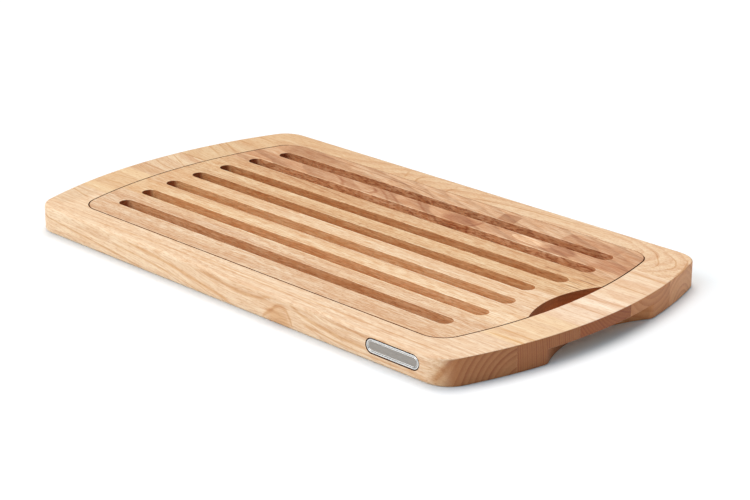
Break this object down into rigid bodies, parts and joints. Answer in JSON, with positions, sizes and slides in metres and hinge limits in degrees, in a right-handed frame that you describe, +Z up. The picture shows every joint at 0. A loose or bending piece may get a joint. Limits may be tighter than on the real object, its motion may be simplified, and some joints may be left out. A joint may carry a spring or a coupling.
{
  "type": "bread board with crumb tray",
  "caption": "Flat wooden bread board: a shallow tray of glued staves with bowed ends and finger undercuts, and a slatted grid with a finger notch that lifts out over the crumb hollow.",
  "frame": {"origin": "middle of the board's footprint, on the underside", "axes": "+X along the board towards the end with the finger notch, +Y to the back, away from the side with the metal plate, +Z up"},
  "size_m": [0.48, 0.27, 0.02],
  "materials": {
    "tray_wood": "oiled pale hardwood, satin",
    "grid_wood": "oiled pale to reddish hardwood, satin",
    "plate_metal": "satin"
  },
  "bodies": {
    "tray": {"tray_stave_1": "tray_wood", "tray_stave_2": "tray_wood", "tray_stave_3": "tray_wood", "tray_stave_4": "tray_wood", "tray_stave_5": "tray_wood", "side_plate": "plate_metal"},
    "grid": {"grid_stave_1": "grid_wood", "grid_stave_2": "grid_wood", "grid_stave_3": "grid_wood", "grid_stave_4": "grid_wood", "grid_stave_5": "grid_wood"}
  },
  "joints": [
    {"name": "grid_lift", "type": "slide", "parent": "tray", "child": "grid", "axis": [0, 0, 1], "range_m": [0, 0.06]}
  ]
}
